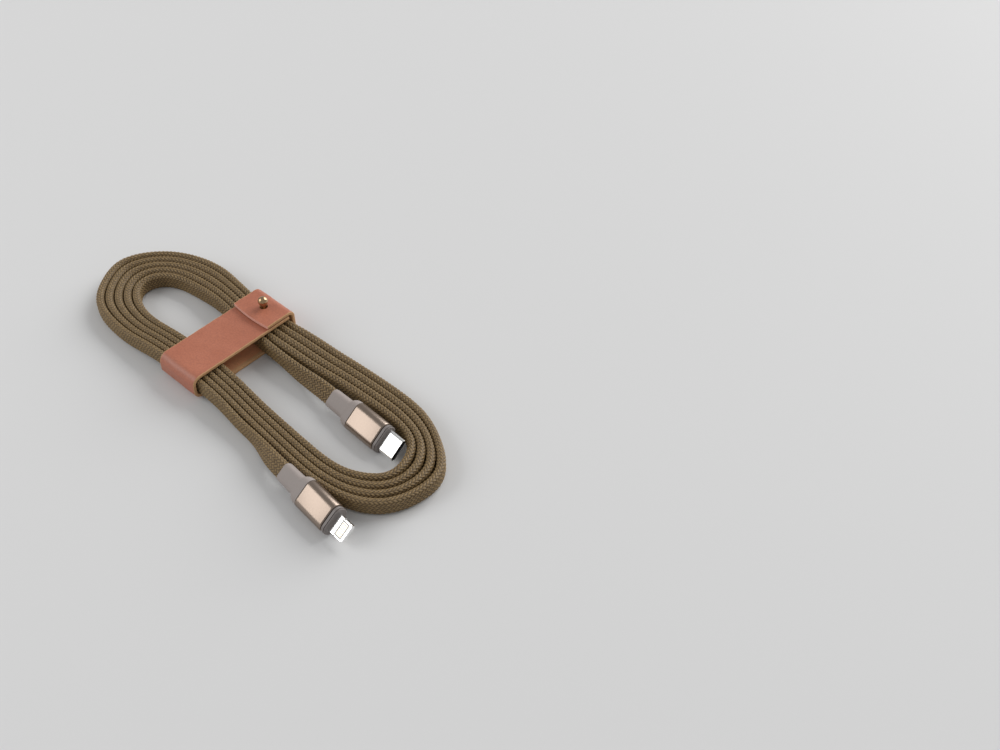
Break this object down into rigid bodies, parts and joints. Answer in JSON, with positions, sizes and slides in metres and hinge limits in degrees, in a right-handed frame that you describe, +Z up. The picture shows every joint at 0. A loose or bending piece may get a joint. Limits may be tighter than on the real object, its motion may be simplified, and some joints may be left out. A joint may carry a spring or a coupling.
{
  "type": "charging cable",
  "caption": "Flat braided charging cable wound on edge into a long hank, held by a leather strap with a ball stud, with a USB-C plug and a flat-tab plug.",
  "frame": {"origin": "on the surface the cable lies on, under the middle of the box round the whole cable", "axes": "+X along the hank towards the two plugs' tips, +Y across the hank towards the strap's stud, +Z up"},
  "size_m": [0.1661, 0.0581, 0.0158],
  "materials": {
    "braid": "matte",
    "leather": "satin",
    "antique_brass": "polished",
    "rose_aluminium": "satin",
    "collar_plastic": "matte",
    "soft_rubber": "matte",
    "white_plastic": "matte",
    "steel": "satin",
    "board_green": "satin",
    "black_plastic": "matte",
    "gold": "polished",
    "wire_red": "satin",
    "wire_black": "satin",
    "wire_green": "satin",
    "wire_white": "satin"
  },
  "bodies": {
    "cable": {"cord_hank": "braid", "cord_tab_lead": "braid", "cord_usb_c_lead": "braid", "tab_plug_blade": "steel", "tab_plug_circuit_board": "board_green", "tab_plug_collar": "collar_plastic", "tab_plug_contact_1": "gold", "tab_plug_contact_2": "gold", "tab_plug_contact_3": "gold", "tab_plug_contact_4": "gold", "tab_plug_contact_5": "gold", "tab_plug_contact_6": "gold", "tab_plug_contact_7": "gold", "tab_plug_contact_8": "gold", "tab_plug_contact_carrier": "black_plastic", "tab_plug_controller_chip": "black_plastic", "tab_plug_crimp_ferrule": "steel", "tab_plug_housing": "rose_aluminium", "tab_plug_inner_mould": "white_plastic", "tab_plug_shield_can": "steel", "tab_plug_strain_relief": "soft_rubber", "tab_plug_wire_black": "wire_black", "tab_plug_wire_green": "wire_green", "tab_plug_wire_red": "wire_red", "tab_plug_wire_white": "wire_white", "usb_c_circuit_board": "board_green", "usb_c_collar": "collar_plastic", "usb_c_contacts_lower": "gold", "usb_c_contacts_upper": "gold", "usb_c_controller_chip": "black_plastic", "usb_c_crimp_ferrule": "steel", "usb_c_housing": "rose_aluminium", "usb_c_inner_mould": "white_plastic", "usb_c_insulator": "black_plastic", "usb_c_mid_plate": "steel", "usb_c_shell": "steel", "usb_c_shield_can": "steel", "usb_c_strain_relief": "soft_rubber", "usb_c_wire_black": "wire_black", "usb_c_wire_green": "wire_green", "usb_c_wire_red": "wire_red", "usb_c_wire_white": "wire_white"},
    "strap": {"strap_band": "leather", "strap_stud": "antique_brass", "stud_screw": "antique_brass"},
    "flap": {"strap_flap": "leather"}
  },
  "joints": [
    {"name": "strap_slide", "type": "slide", "parent": "cable", "child": "strap", "axis": [0.999, 0.0436, 0], "range_m": [-0.003, 0.003]},
    {"name": "flap_hinge", "type": "hinge", "parent": "strap", "child": "flap", "pos_m": [-0.018, 0.02388, 0.0092], "axis": [-0.999, -0.0436, 0], "range_deg": [0, 150]}
  ]
}
